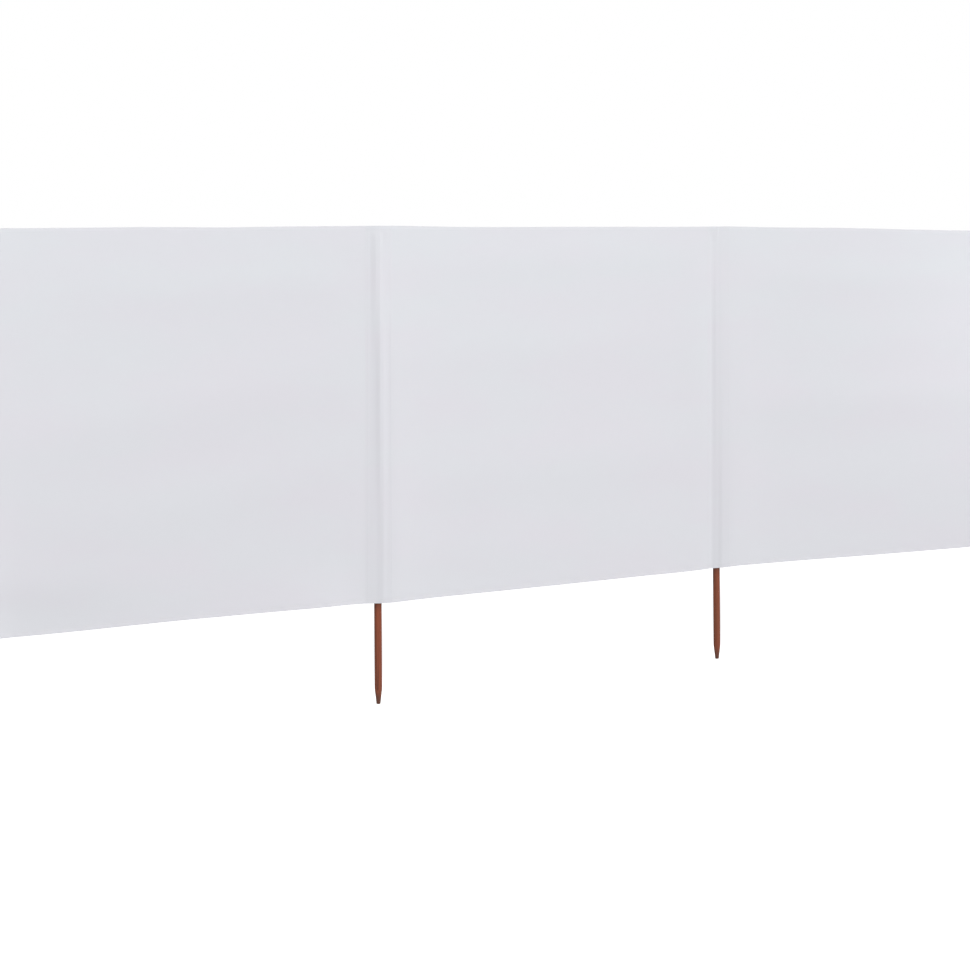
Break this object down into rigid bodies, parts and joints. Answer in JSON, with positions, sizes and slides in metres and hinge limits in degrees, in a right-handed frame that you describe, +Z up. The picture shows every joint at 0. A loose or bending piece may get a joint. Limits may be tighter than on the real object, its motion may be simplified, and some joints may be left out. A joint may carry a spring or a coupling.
{
  "type": "fabric windbreak",
  "caption": "Free-running screen of pale cloth bays held upright by round stained wooden stakes in sewn sleeves, with blunt tips that push into the ground.",
  "frame": {"origin": "middle of the flat tip of the middle stake, where it meets the ground", "axes": "+X along the row, the front faces -Y, +Z up"},
  "size_m": [8.0146, 0.0912, 1.522],
  "materials": {
    "stained_pine": "red-brown stained, matt, darker end grain",
    "panel_cloth": "smooth tight plain weave, very pale lilac white, matt",
    "sleeve_cloth": "the same cloth in two layers round the stake, sewn both sides",
    "hem_cloth": "the same cloth turned over and sewn with white thread"
  },
  "bodies": {
    "root": {"pole_1": "stained_pine", "sleeve_1": "sleeve_cloth", "pole_2": "stained_pine", "sleeve_2": "sleeve_cloth", "pole_3": "stained_pine", "sleeve_3": "sleeve_cloth", "pole_4": "stained_pine", "sleeve_4": "sleeve_cloth", "pole_5": "stained_pine", "sleeve_5": "sleeve_cloth", "pole_6": "stained_pine", "sleeve_6": "sleeve_cloth", "pole_7": "stained_pine", "sleeve_7": "sleeve_cloth", "panel_1": "panel_cloth", "top_hem_1": "hem_cloth", "bottom_hem_1": "hem_cloth", "panel_2": "panel_cloth", "top_hem_2": "hem_cloth", "bottom_hem_2": "hem_cloth", "panel_3": "panel_cloth", "top_hem_3": "hem_cloth", "bottom_hem_3": "hem_cloth", "panel_4": "panel_cloth", "top_hem_4": "hem_cloth", "bottom_hem_4": "hem_cloth", "panel_5": "panel_cloth", "top_hem_5": "hem_cloth", "bottom_hem_5": "hem_cloth", "panel_6": "panel_cloth", "top_hem_6": "hem_cloth", "bottom_hem_6": "hem_cloth"}
  },
  "joints": []
}
